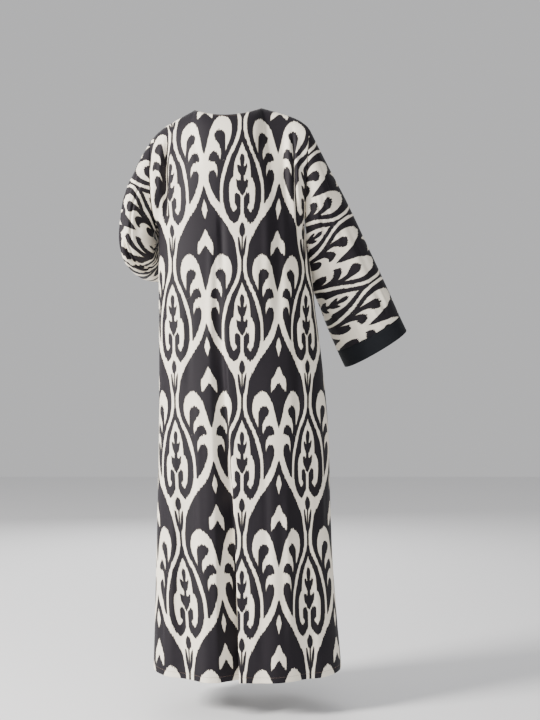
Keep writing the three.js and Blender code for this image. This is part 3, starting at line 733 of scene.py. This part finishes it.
def body_panel(name, point, s, t, flip, axis_from, table, tucks, neck_from, neck_to, front_edge):
    """One panel of the body, with its print, its creases and its turned edges."""
    grid = point(s[None, :], t[:, None])
    normal = outward(grid, flip)
    under_row = int(np.flatnonzero(t >= 1)[0])
    across, down = grain(grid, normal, flip, under_row, axis_from)
    across, down = tucked(tucks, grid[..., 0], grid[..., 2], across, down)
    uv = np.stack([across, down], -1)
    from_start = path_length(grid, 1)
    to_end = from_start[:, -1:] - from_start
    from_top = path_length(grid, 0)
    to_hem = from_top[-1:] - from_top
    shoulder = (s < neck_from) | (s > neck_to)
    seams = np.minimum(from_start, FAR_OFF if front_edge else to_end)
    seams = np.minimum(seams, np.where(shoulder[None, :], from_top, FAR_OFF))
    relief = creases(table, grid[..., 0], grid[..., 2]) + rolled(seams)
    from_stitches = to_hem - HEM_TURN
    wave = sum(np.sin(across / step + start) * share for step, start, share in PUCKER_WAVES)
    relief += PUCKER_DEPTH * wave * np.exp(-((from_stitches / PUCKER_REACH) ** 2)) * (to_hem < PUCKER_END)
    relief -= GROOVE_DEPTH * np.exp(-((from_stitches / GROOVE_REACH) ** 2))
    grid = grid + normal * relief[..., None]
    lines = [inset_line(grid, normal, HEM_TURN)]
    neck = ~shoulder
    lines.append(inset_line(grid[::-1, neck], normal[::-1, neck], NECK_STITCH))
    if front_edge:
        swapped = [np.swapaxes(a, 0, 1) for a in (grid, normal)]
        lines.append(inset_line(*swapped, FRONT_STITCH))
    hem_depth = np.full(len(s), HEM_TURN)
    top_depth = np.full(len(s), NECK_TURN)
    if front_edge:
        hem_depth = np.minimum(hem_depth, to_end[-1])
        top_depth = np.minimum(top_depth, to_end[0])
    rows, columns = grid.shape[:2]
    whole, whole_uv = add_turned(grid, normal, uv, hem_depth)
    top, top_uv = add_turned(grid[::-1], normal[::-1], uv[::-1], top_depth)
    whole = np.concatenate([top[rows:][::-1], whole])
    whole_uv = np.concatenate([top_uv[rows:][::-1], whole_uv])
    skip = None
    if front_edge:
        edge_depth = np.minimum(np.full(rows, FRONT_TURN), np.minimum(to_hem[:, -1], from_top[:, -1]))
        side, side_uv = add_turned(*[np.swapaxes(a, 0, 1) for a in (grid, normal, uv)], edge_depth)
        side, side_uv = (np.swapaxes(a[columns:], 0, 1) for a in (side, side_uv))
        extra = len(whole) - rows
        before = extra // 2
        pad = ((before, extra - before), (0, 0), (0, 0))
        whole = np.concatenate([whole, np.pad(side, pad, mode="edge")], 1)
        whole_uv = np.concatenate([whole_uv, np.pad(side_uv, pad, mode="edge")], 1)
        skip = np.zeros((len(whole) - 1, whole.shape[1] - 1), bool)
        skip[:before, columns - 1:] = True
        skip[before + rows - 1:, columns - 1:] = True
    return cloth_piece(name, whole, whole_uv, flip, (cloth_face, cloth_reverse), skip), lines


PRINT_RISE = 0.994
PRINT_TOP = -325.0
TOP_SHARE = 0.84
FLAT_FROM_Z = -330.0
FLAT_RISE = 150.0
FLAT_SHARE = 0.055
RIGHT_PULL = 17.0
MIDDLE_PULL = 9.0
MIDDLE_REACH = 75.0
# The hem is puckered a little by its stitches, which lie in a shallow groove
PUCKER_WAVES = ((3.9, 0.0, 0.6), (2.3, 1.3, 0.4))
PUCKER_DEPTH = 0.22
PUCKER_REACH = 9
PUCKER_END = 60
GROOVE_DEPTH = 0.3
GROOVE_REACH = 1.6
FAR_OFF = 1e6
SEAM_ROLL = 1.1
SEAM_ROLL_REACH = 1.8
NECK_TURN = 8.0
NECK_STITCH = 5.5
FRONT_TURN = 12.0
FRONT_STITCH = 10.0
STITCH_LIFT = 0.2
UPPER_LENGTH = 340.0
LOWER_LENGTH = 1057.0
BACK_COLUMNS = (36, 20, 38, 24, 34)
UPPER_ROWS = 60
LOWER_ROWS = 178
BACK_SPAN = 450
SEAM_STEPS = np.array((0.9, 2.0, 3.4))
HEM_STEPS = np.array((1.5, 4.0, 8.0, 10.6, 12.0, 13.4, 17.0))
# Creases on the back: x and z of the start, x and z of the end, half width, how far out
BACK_CREASES = (
    (-113, -205, -117, -560, 19, -6.5),
    (-88, -230, -90, -480, 14, 2.6),
    (149, -50, 153, -320, 9, -9.5),
    (138, -60, 142, -300, 9, 3.6),
    (164, -80, 168, -240, 8, 3.0),
    (-150, -44, -156, -250, 8, -9.0),
    (-155, -180, -176, -400, 8, -7.0),
    (-139, -60, -144, -260, 10, 4.0),
    (-181, -270, -202, -470, 16, 4.5),
    (20, -250, 12, -430, 13, -5.0),
    (38, -280, 44, -640, 15, 3.0),
    (-62, -330, -70, -640, 18, 2.6),
    (128, -90, 132, -260, 13, 2.0),
    (96, -35, 66, -170, 12, -3.0),
    (-86, -30, -62, -160, 12, -3.0),
    (150, -330, 138, -540, 14, 3.2),
    (-178, -330, -196, -520, 14, 4.0),
    (-150, -420, -168, -820, 16, -4.5),
    (92, -420, 96, -720, 14, -2.6),
    (74, -640, 66, -1130, 13, 2.8),
    (128, -740, 134, -1345, 14, 4.0),
    (104, -900, 108, -1345, 10, -2.4),
    (-84, -760, -92, -1200, 15, -3.2),
    (-134, -860, -146, -1348, 15, 4.2),
    (-208, -680, -222, -1080, 13, 4.0),
    (-60, -960, -64, -1348, 14, 3.0),
    (160, -980, 158, -1345, 10, -3.4),
    (-190, -1000, -200, -1348, 11, -3.0),
    (30, -980, 28, -1345, 11, 2.4),
)
# Tucks where the cloth is drawn in beside the armholes, and broader ones below: which way the
# far side lies, the tuck's breadth, its depths below the neck, then its x, how much cloth it
# hides and how far it lifts the print, at each depth
BACK_TUCKS = (
    (1, 6, (50, 66, 149, 199, 232, 290), (149, 149, 150, 151, 152, 154), (6, 10, 24, 39, 20, 0),
     (6, 8, 8, 6, 3, 0)),
    (-1, 6, (68, 120, 160, 203, 284, 338), (-150, -151, -153, -155, -164, -172), (0, 8, 20, 16, 6, 0),
     (0, -4, -8, -6, -2, 0)),
    (1, 70, (560, 900, 1250), (66, 66, 66), (0, -12, -13), (0, 0, 0)),
    (-1, 60, (330, 455, 700, 852, 1000, 1130, 1300), (-150, -150, -158, -160, -160, -160, -160),
     (0, 11, 12, 15, 12, 8, 4), (0, 0, 0, 0, 0, 0, 0)),
)
hem_rows = 2 - HEM_STEPS / LOWER_LENGTH
top_rows = SEAM_STEPS / UPPER_LENGTH
t_rows = np.unique(np.concatenate([
    np.linspace(0, 1, UPPER_ROWS + 1), np.linspace(1, 2, LOWER_ROWS + 1), hem_rows, top_rows]))
group_ends = np.cumsum((0,) + BACK_CELLS) / sum(BACK_CELLS)
column_ends = np.cumsum((0,) + BACK_COLUMNS)
s_back = np.interp(np.arange(column_ends[-1] + 1), column_ends, group_ends)
s_back = np.unique(np.concatenate([s_back, SEAM_STEPS / BACK_SPAN, 1 - SEAM_STEPS / BACK_SPAN]))
beyond_fold = int(np.searchsorted(s_back, group_ends[3]))
back_panel, back_lines = body_panel(
    "back_panel_cloth", back_point, s_back, t_rows, True, beyond_fold, BACK_CREASES,
    BACK_TUCKS, group_ends[1], group_ends[4], False)
stand_for(back_panel, "back_panel")

# Fronts. Two lengths of the same cloth that hang edge to edge, with the front neck cut out and
# with turned and topstitched front edges; the left one is drawn in a little by the raised arm.
NECK_FRONT_REACH = 74.0
NECK_FRONT_DROP = 90.0
NECK_MEET_X = -4.0
FRONT_NECK_PULL = 60.0
FRONT_NECK_FAN = {"out": 110.0, "cells": 6.0}
SHOULDER_CELLS = 7
NECK_CELLS = 11
FRONT_FOLDS = (
    (128, 120, 38, -14, -470, -1353),
    (62, 50, 34, 9, -420, -1353),
    (-95, -122, 34, 10, -400, -1353),
    (-165, -186, 38, -16, -520, -1353),
)
FRONT_COLUMNS = 84
FRONT_SPAN = 300
FRONT_EDGE_SPAN = 260
FRONT_EDGE_STEPS = np.array((1.5, 5.0, 9.0, 10.4))


def front_top(left, s):
    tip = np.array(TIP_LEFT if left else TIP_RIGHT)
    neck = np.array(NECK_LEFT if left else NECK_RIGHT)
    cell = s * (SHOULDER_CELLS + NECK_CELLS)
    shoulder = shoulder_line(neck, tip, 1 - np.clip(cell / SHOULDER_CELLS, 0, 1))
    swing = np.clip((cell - SHOULDER_CELLS) / NECK_CELLS, 0, 1) * math.pi / 2
    half = SECTIONS["open"][0] / 2
    meet = NECK_MEET_X + (half if left else -half)
    curve = np.stack([
        mix(meet, neck[0], np.cos(swing)),
        neck[1] - NECK_FRONT_REACH * np.sin(swing),
        neck[2] - NECK_FRONT_DROP * np.sin(swing) ** 1.3,
    ], -1)
    return np.where((cell <= SHOULDER_CELLS)[..., None], shoulder, curve)


def front_point(left, s, t):
    """A front: s runs from its side seam to its free edge, t is 1 under the arm and 2 at the hem."""
    s, t = np.broadcast_arrays(np.asarray(s, float), np.asarray(t, float))

    def turn_of(z):
        half = at_level(SECTIONS, "open", z) / 2
        meet = turn_at(z, at_level(SECTIONS, "meet", z) + (half if left else -half))
        return meet * s if left else 1 - (1 - meet) * s

    cell = s * (SHOULDER_CELLS + NECK_CELLS) - SHOULDER_CELLS
    neck = ease(cell / NECK_CELLS)
    fan = (1 if left else -1) * FRONT_NECK_FAN["out"] * bell(cell / FRONT_NECK_FAN["cells"])
    edge = bell(s / SCOOP_REACH["front"])
    leave = np.stack([fan, -mix(CROWN_PULL, FRONT_NECK_PULL, neck), -NECK_STEEP * NECK_PULL * neck], -1)
    bow = ARMHOLE_BOW * edge if left else 0
    return panel_point("front", turn_of, FRONT_FOLDS, t, front_top(left, s), leave,
                       edge, SCOOP["front"] * edge, bow)


FRONT_LEFT_CREASES = (
    (150, -70, 140, -250, 12, -2.6),
    (92, -50, 60, -210, 14, -2.0),
    (110, -190, 40, -290, 12, -2.2),
    (120, -300, 66, -420, 13, 2.2),
    (146, -380, 138, -760, 15, 2.2),
    (88, -520, 84, -980, 14, -2.0),
    (20, -470, 12, -900, 14, 1.8),
    (104, -900, 98, -1340, 14, 2.4),
    (30, -930, 24, -1345, 12, -1.8),
    (150, -980, 156, -1340, 11, -2.0),
)
FRONT_RIGHT_CREASES = (
    (-181, -270, -202, -470, 16, 4.5),
    (-160, -80, -150, -260, 12, -2.6),
    (-86, -50, -66, -190, 14, -2.0),
    (-120, -260, -132, -560, 15, 2.2),
    (-60, -330, -70, -760, 14, -1.8),
    (-150, -560, -160, -980, 15, -2.2),
    (-96, -700, -106, -1180, 13, 1.8),
    (-200, -640, -214, -1060, 13, 2.2),
    (-80, -960, -88, -1345, 13, -1.7),
    (-150, -1040, -158, -1345, 12, 2.4),
)
s_front = np.unique(np.concatenate([
    np.linspace(0, 1, FRONT_COLUMNS + 1), SEAM_STEPS / FRONT_SPAN, 1 - FRONT_EDGE_STEPS / FRONT_EDGE_SPAN]))
front_neck = SHOULDER_CELLS / (SHOULDER_CELLS + NECK_CELLS)
stitch_lines = list(back_lines)
for node, left, table in (("front_left", True, FRONT_LEFT_CREASES),
                          ("front_right", False, FRONT_RIGHT_CREASES)):
    front, lines = body_panel(
        f"{node}_cloth", lambda s, t: front_point(left, s, t), s_front, t_rows, not left, None,
        table, (), front_neck, 2.0, True)
    stand_for(front, node)
    stitch_lines += lines

# Sleeves. Wide straight sleeves cut crosswise, so that the plumes lie along the arm: the left
# one is creased deeply inside its bent elbow, the right one hangs open with a few pinched folds.
NUDGE = 1e-3
SEAM_GAP = 0.3
SLEEVE_POWER = 2.15
UNDERARM_CLEAR = 2.4
UNDERARM_CLEAR_REACH = 0.25
CUFF_WIDTH = 45.0
AROUND = 132
SLEEVE_STEP = 3.6
SEAM_SHARE = 0.8
ELBOW_FROM = 2.6
ELBOW_RINGS = 1.4
# The print drifts around each sleeve toward the cuff, and less of it shows along the right
# sleeve's flat upper fold
DRIFT = 14.0
DRIFT_FROM = 250.0
DRIFT_RUN = 200.0
LEFT_DRIFT_FROM = 90.0
LEFT_DRIFT_RUN = 90.0
FOLD_HIDES = 9.0
FOLD_REACH = 60.0
# Rings: the point over the arm, the point under it, then how far the ring stands behind and
# before their middle, each followed by its pitch below or above level
LEFT_SLEEVE = (
    ((224, -16, -136), (185, -12, -305), 66, 2, 70, 2),
    ((252, -8, -222), (181, -6, -322), 76, 18, 74, 18),
    ((262, 0, -298), (180, -14, -334), 80, 50, 92, 28),
    ((250, -105, -326), (166, -79, -334), 78, 84, 72, 71),
    ((211, -205, -334), (125, -161, -340), 76, 88, 74, 86),
    ((163, -275, -341), (95, -207, -346), 75, 88, 73, 88),
    ((131, -307, -345), (63, -239, -350), 75, 88, 73, 88),
)
RIGHT_SLEEVE = (
    ((-237, 10, -142), (-190, -14, -328), 60, 4, 66, 4),
    ((-283, -6, -226), (-196, -34, -378), 58, 8, 62, 8),
    ((-331, -24, -323), (-207, -52, -437), 57, 10, 58, 10),
    ((-378, -42, -419), (-231, -66, -510), 56, 11, 57, 11),
    ((-416, -58, -500), (-263, -78, -585), 56, 11, 56, 11),
    ((-434, -65, -536), (-282, -85, -625), 56, 11, 56, 11),
)
# Broad folds: turn around the sleeve and half width in turns, first, middle and last ring, out
LEFT_SLEEVE_FOLDS = (
    (0.3, 0.07, 0.5, 1.6, 2.9, -9),
    (0.14, 0.06, 1.4, 2.5, 3.4, -8),
    (0.42, 0.06, 1.8, 2.9, 4.2, 6),
)
RIGHT_SLEEVE_FOLDS = (
    (0.22, 0.07, 0.6, 2.6, 5.6, -6),
    (0.36, 0.06, 1.2, 3.4, 5.6, 5),
    (0.78, 0.08, 0.8, 2.8, 5.4, -7),
)
# Creases: the distance around from the top fold, to the back, and along from the shoulder, for
# the start and then the end; half width; how far out
LEFT_SLEEVE_CREASES = (
    (44, 10, 62, 150, 8, -4.0),
    (66, 30, 84, 170, 8, 3.0),
    (88, 40, 112, 180, 8, -5.0),
    (24, 80, 40, 200, 9, 2.4),
    (64, 190, 142, 218, 9, -10.0),
    (56, 226, 132, 250, 9, -6.5),
    (84, 172, 150, 196, 8, -6.5),
    (60, 208, 120, 232, 8, 4.0),
    (40, 250, 112, 290, 9, -4.5),
    (-60, 150, -120, 240, 10, -6.5),
    (-100, 160, -170, 230, 9, -6.5),
    (-150, 190, -90, 280, 9, -5.0),
    (-40, 260, -60, 420, 12, 3.2),
    (60, 300, 90, 450, 12, -3.2),
    (130, 330, 150, 480, 11, 3.0),
)
RIGHT_SLEEVE_CREASES = (
    (40, 20, 60, 150, 9, -3.4),
    (86, 70, 92, 250, 12, 3.0),
    (124, 40, 142, 230, 10, -4.0),
    (52, 190, 44, 400, 12, -3.6),
    (110, 280, 118, 480, 12, 3.4),
    (58, 370, 52, 462, 6, -4.6),
    (44, 380, 40, 462, 5, 3.0),
    (78, 385, 80, 462, 6, 2.6),
    (132, 330, 140, 462, 8, -3.6),
    (218, -20, 200, 220, 60, 8.0),
    (-218, -20, -200, 220, 60, 8.0),
    (-70, 80, -96, 260, 12, -4.0),
    (-110, 220, -100, 420, 12, 3.4),
    (-50, 300, -58, 460, 12, -3.2),
)


def facing(surface, s, t, flip):
    """The direction out of a panel's upper part, at places between 0 and 1 on it."""
    step = NUDGE / 10
    across = surface(np.minimum(1, s + step), t) - surface(np.maximum(0, s - step), t)
    down = surface(s, np.minimum(1, t + step)) - surface(s, np.maximum(0, t - step))
    normal = unit(np.cross(across, down))
    return -normal if flip else normal


def armhole(left, turn):
    """The armhole's seam, the body's outward direction along it and the direction off its edge."""
    behind = (turn <= 0.5)[:, None]
    t = np.where(turn <= 0.5, 2 * turn, 2 - 2 * turn)

    def seam(surface, s, flip):
        point = surface(s, t)
        out = facing(surface, np.full_like(t, s), t, flip)
        along = surface(s, np.minimum(1, t + NUDGE)) - surface(s, np.maximum(0, t - NUDGE))
        off = unit(np.cross(along, out))
        inward = surface(abs(s - 10 * NUDGE), t) - point
        inside = (off * inward).sum(-1, keepdims=True) > 0
        return point, out, np.where(inside, -off, off)

    rear = seam(back_point, 0.0 if left else 1.0, True)
    fore = seam(lambda s, t: front_point(left, s, t), 0.0, not left)
    return [np.where(behind, a, b) for a, b in zip(rear, fore)]


def sleeve_rings(left, table, turn):
    """The armhole and each row of a sleeve's table as rings of points, one for each turn."""
    point, out, off = armhole(left, turn)
    low = bell((turn - 0.5) / UNDERARM_CLEAR_REACH)[:, None]
    rings = [point + off * SEAM_GAP + out * UNDERARM_CLEAR * low]
    cos = np.cos(turn * 2 * math.pi)
    sin = np.sin(turn * 2 * math.pi)
    lift = bulge(cos, 2 / SLEEVE_POWER)[:, None]
    for over, under, back, pitch, front, rise in table:
        middle = (np.array(over) + np.array(under)) / 2
        up = np.array(over) - middle
        level = up / np.linalg.norm(up)
        angle = np.radians(np.where(turn < 0.5, pitch, rise))
        way = np.stack([0 * angle, np.cos(angle), -np.sin(angle)], -1)
        way = unit(way - level * (way @ level)[:, None])
        side = bulge(sin, 2 / SLEEVE_POWER) * np.where(sin > 0, back, front)
        rings.append(middle + up * lift + way * side[:, None])
    return np.array(rings)


def sleeve(side, table, folds, table_creases, print_shift):
    """A sleeve and its cuff as one tube, cut apart at the cuff's seam."""
    left = side == "left"
    # The turn is 0 at the top fold and grows toward the back, and the grid starts underneath
    turn = (0.5 + np.linspace(0, 1, AROUND + 1)) % 1
    rings = sleeve_rings(left, table, turn)
    count = len(table)
    lengths = np.linalg.norm(np.diff(rings, axis=0), axis=-1).max(1)
    cells = [max(2, round(length / SLEEVE_STEP)) for length in lengths]
    ring = np.concatenate([i + np.arange(n) / n for i, n in enumerate(cells)] + [[float(count)]])
    near = SEAM_STEPS / CUFF_WIDTH
    ring = np.unique(np.concatenate([ring, near / 2, count - 1 - near / 2, count - 1 + near]))
    row = np.minimum(count - 1, ring.astype(int))
    around = [rings[np.clip(row + shift, 0, count)] for shift in (-1, 0, 1, 2)]
    grid = between(*around, (ring - row)[:, None, None])
    normal = outward(grid, left, True)
    push = np.zeros(grid.shape[:2])
    for middle, half, first, full, last, out in folds:
        rising = (ring - first) / (full - first)
        falling = (last - ring) / (last - full)
        along = ease(np.where(ring < full, rising, falling))
        push += out * along[:, None] * bell((turn - middle) / half)[None, :]
    grid = grid + normal * push[..., None]
    normal = outward(grid, left, True)
    down = path_length(grid, 0)
    top = AROUND // 2
    reach = path_length(grid, 1)
    over = reach - reach[:, top:top + 1]
    if left:
        # Down the upper arm the print follows the cloth from the armhole, and past the elbow
        # it follows the outside of the bend
        elbow = int(np.flatnonzero(ring >= ELBOW_FROM)[0])
        arm = grid[elbow, top] - grid[0, top]
        seam_down = (grid[0] - grid[0, top]) @ arm / np.linalg.norm(arm)
        own = down + SEAM_SHARE * seam_down
        along = mix(own, down[:, top:top + 1], ease((ring - ELBOW_FROM) / ELBOW_RINGS)[:, None])
    else:
        along = down - down[-1]
    step = np.linalg.norm(np.diff(grid, axis=1), axis=-1)
    flat_step = np.sqrt(np.maximum(step ** 2 - np.diff(along, axis=1) ** 2, (0.2 * step) ** 2))
    flat = np.cumsum(np.pad(flat_step, ((0, 0), (1, 0))), axis=1)
    placed = flat - flat[:, top:top + 1]
    if left:
        placed = placed - DRIFT * ease((down - LEFT_DRIFT_FROM) / LEFT_DRIFT_RUN)
    else:
        placed = placed + FOLD_HIDES * (1 - ease(np.abs(placed) / FOLD_REACH))
        placed = placed + DRIFT * ease((down - DRIFT_FROM) / DRIFT_RUN)
    uv = np.stack([along + print_shift[0], placed - print_shift[1]], -1)
    seam_row = int(np.flatnonzero(ring >= count - 1)[0])
    from_cuff = np.abs(down - down[seam_row])
    from_under = np.minimum(reach, reach[:, -1:] - reach)
    relief = rolled(np.minimum(np.minimum(down, from_cuff), from_under))
    relief += creases(table_creases, over, down) * (ring <= count - 1)[:, None]
    grid = grid + normal * relief[..., None]
    return grid, normal, uv, seam_row


sleeve_parts = {
    "left": sleeve("left", LEFT_SLEEVE, LEFT_SLEEVE_FOLDS, LEFT_SLEEVE_CREASES, (50.0, 118.0)),
    "right": sleeve("right", RIGHT_SLEEVE, RIGHT_SLEEVE_FOLDS, RIGHT_SLEEVE_CREASES, (499.1, 118.0)),
}
for side, (grid, normal, uv, seam_row) in sleeve_parts.items():
    kept = slice(seam_row + 1)
    piece = cloth_piece(f"sleeve_{side}_cloth", grid[kept], uv[kept], side == "left",
                        (cloth_face, cloth_reverse))
    stand_for(piece, f"sleeve_{side}")

# Cuffs. Plain black woven bands, folded double over the sleeves' ends and stitched inside, with
# a soft matte face whose ribs run around the wrist.
CUFF_BLACK = (0.0030, 0.0038, 0.0055)
CUFF_WORN_TINT = (2.0, 2.0, 2.0)
CUFF_RIB = 1.1
CUFF_WEFT = 0.8
CUFF_SHEEN = {"Sheen Weight": 0.04, "Sheen Roughness": 0.45, "Specular IOR Level": 0.2}
CUFF_TURN = 40.0


def band_looks(place, across, down):
    fuzz = place.point(across * 0.9, down * 0.9).noise(1.0, 4.0)
    worn = place.point(across * 0.05, down * 0.05).noise(1.0, 3.0)
    colour = (fuzz * 0.6 + worn * 0.4).blend(CUFF_BLACK + (1,), tinted(CUFF_BLACK, CUFF_WORN_TINT, 0.001))
    relief = across.ribs(CUFF_RIB) * 0.6 + down.ribs(CUFF_WEFT) * 0.3 + fuzz * 0.8
    return colour, 0.68 + fuzz * 0.15, relief


band_finish = woven_finish("black_band", band_looks, CUFF_SHEEN, 0.3)
for side, (grid, normal, uv, seam_row) in sleeve_parts.items():
    depth = np.full(grid.shape[1], CUFF_TURN)
    band, band_uv = add_turned(grid[seam_row:], normal[seam_row:], uv[seam_row:], depth)
    piece = cloth_piece(f"cuff_{side}_band", band, band_uv, side == "left", (band_finish, band_finish))
    stand_for(piece, f"cuff_{side}")

# Topstitching. Brown thread, 12 mm above the hem and beside the turned front edges and neck,
# one small sunken stitch after another along each line.
STITCH_SIZES = {"Pitch": 3.1 * MM, "Length": 2.5 * MM, "Thickness": 0.62 * MM}
THREAD = (0.10, 0.055, 0.032)
THREAD_WORN_TINT = (1.7, 1.7, 1.7)
thread_finish, thread_shader, thread_place = new_finish(
    "brown_thread", "ShaderNodeTexCoord", {}, "Object")
thread_colour = thread_place.noise(2200.0).blend(THREAD + (1,), tinted(THREAD, THREAD_WORN_TINT))
plug(thread_shader, {"Base Color": thread_colour, "Roughness": 0.55, "Sheen Weight": 0.3})

points = []
edges = []
for line in stitch_lines:
    start = len(points)
    points += (line * MM).tolist()
    edges += [(start + i, start + i + 1) for i in range(len(line) - 1)]
path_mesh = bpy.data.meshes.new("stitch_lines")
path_mesh.from_pydata(points, edges, [])
stitching = add_object("stitch_lines", path_mesh)

tree = bpy.data.node_groups.new("stitches", "GeometryNodeTree")
for way in ("INPUT", "OUTPUT"):
    tree.interface.new_socket("Geometry", in_out=way, socket_type="NodeSocketGeometry")
identifiers = {}
for name, value in STITCH_SIZES.items():
    socket = tree.interface.new_socket(name, in_out="INPUT", socket_type="NodeSocketFloat")
    socket.default_value = value
    identifiers[name] = socket.identifier
given = tree.nodes.new("NodeGroupInput").outputs
lines, pitch, length, thick = (Wire(tree, given[name]) for name in ("Geometry", *STITCH_SIZES))
curve = lines.make("GeometryNodeMeshToCurve", None, {"Mesh": lines})
even = lines.make("GeometryNodeResampleCurve", {"mode": "LENGTH"}, {"Curve": curve, "Length": pitch})
tangent = lines.make("GeometryNodeInputTangent")
turned = lines.make("FunctionNodeAlignRotationToVector", {"axis": "X"}, {"Vector": tangent})
bead = lines.make("GeometryNodeMeshUVSphere", None, {"Segments": 6, "Rings": 4, "Radius": 0.5})
size = length.make("ShaderNodeCombineXYZ", None, {"X": length, "Y": thick, "Z": thick})
placed = {"Points": even, "Instance": bead, "Rotation": turned, "Scale": size}
beads = lines.make("GeometryNodeInstanceOnPoints", None, placed)
real = lines.make("GeometryNodeRealizeInstances", None, {"Geometry": beads})
smooth = lines.make("GeometryNodeSetShadeSmooth", None, {0: real})
coloured = lines.make("GeometryNodeSetMaterial", None, {"Geometry": smooth, "Material": thread_finish})
plug(tree.nodes.new("NodeGroupOutput"), {"Geometry": coloured})
maker = stitching.modifiers.new("stitches", "NODES")
maker.node_group = tree
for name, value in STITCH_SIZES.items():
    maker[identifiers[name]] = value
evaluated = stitching.evaluated_get(bpy.context.evaluated_depsgraph_get())
thread_mesh = bpy.data.meshes.new_from_object(evaluated)
thread_mesh.name = "topstitching"
topstitching = add_object("topstitching", thread_mesh)
bpy.data.objects.remove(stitching)
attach(topstitching, "root")
